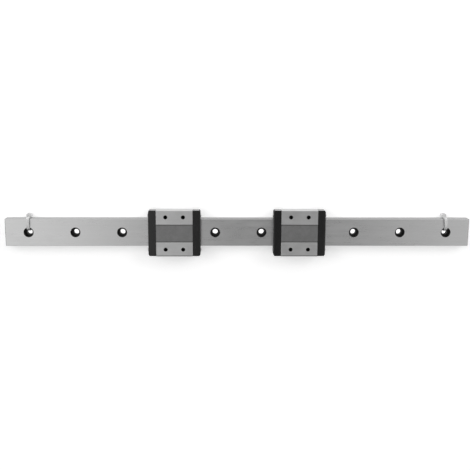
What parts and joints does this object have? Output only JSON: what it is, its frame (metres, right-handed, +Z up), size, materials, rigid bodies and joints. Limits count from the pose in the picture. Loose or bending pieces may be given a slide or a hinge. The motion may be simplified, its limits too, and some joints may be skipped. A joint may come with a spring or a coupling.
{
  "type": "linear guide with two carriages",
  "caption": "Straight guide rail with ball carriages that slide along it, each with tapped holes in its top, and nylon ties through the rail's end holes as travel stops.",
  "frame": {"origin": "middle of the rail's base face", "axes": "+X along the rail to the right, +Y across the rail to the side where the ties' heads are, +Z up through the carriages' top pads"},
  "size_m": [0.4, 0.04, 0.0149],
  "materials": {
    "rail_steel": "ground along its length",
    "block_steel": "ground pads, dark unground channel",
    "black_plastic": "fine moulded texture",
    "seal_rubber": "matte",
    "screw_steel": "bright",
    "guide_plastic": "moulded",
    "ball_steel": "polished",
    "wire_steel": "drawn",
    "tie_nylon": "natural translucent nylon"
  },
  "bodies": {
    "rail_with_stop_ties": {"rail": "rail_steel", "left_stop_tie": "tie_nylon", "right_stop_tie": "tie_nylon"},
    "left_carriage": {"left_carriage_block": "block_steel", "left_carriage_end_cap_outboard": "black_plastic", "left_carriage_end_cap_inboard": "black_plastic", "left_carriage_end_seal_outboard": "seal_rubber", "left_carriage_end_seal_inboard": "seal_rubber", "left_carriage_end_screws_outboard": "screw_steel", "left_carriage_end_screws_inboard": "screw_steel", "left_carriage_return_guide_outboard_front": "guide_plastic", "left_carriage_return_guide_outboard_back": "guide_plastic", "left_carriage_return_guide_inboard_front": "guide_plastic", "left_carriage_return_guide_inboard_back": "guide_plastic", "left_carriage_balls_front": "ball_steel", "left_carriage_balls_back": "ball_steel", "left_carriage_retaining_wire_front": "wire_steel", "left_carriage_retaining_wire_back": "wire_steel", "left_carriage_bottom_seal_front": "seal_rubber", "left_carriage_bottom_seal_back": "seal_rubber"},
    "right_carriage": {"right_carriage_block": "block_steel", "right_carriage_end_cap_outboard": "black_plastic", "right_carriage_end_cap_inboard": "black_plastic", "right_carriage_end_seal_outboard": "seal_rubber", "right_carriage_end_seal_inboard": "seal_rubber", "right_carriage_end_screws_outboard": "screw_steel", "right_carriage_end_screws_inboard": "screw_steel", "right_carriage_return_guide_outboard_front": "guide_plastic", "right_carriage_return_guide_outboard_back": "guide_plastic", "right_carriage_return_guide_inboard_front": "guide_plastic", "right_carriage_return_guide_inboard_back": "guide_plastic", "right_carriage_balls_front": "ball_steel", "right_carriage_balls_back": "ball_steel", "right_carriage_retaining_wire_front": "wire_steel", "right_carriage_retaining_wire_back": "wire_steel", "right_carriage_bottom_seal_front": "seal_rubber", "right_carriage_bottom_seal_back": "seal_rubber"}
  },
  "joints": [
    {"name": "left_carriage_slide", "type": "slide", "parent": "rail_with_stop_ties", "child": "left_carriage", "axis": [1, 0, 0], "range_m": [-0.1003, 0.0317]},
    {"name": "right_carriage_slide", "type": "slide", "parent": "rail_with_stop_ties", "child": "right_carriage", "axis": [1, 0, 0], "range_m": [-0.0292, 0.1017]}
  ]
}
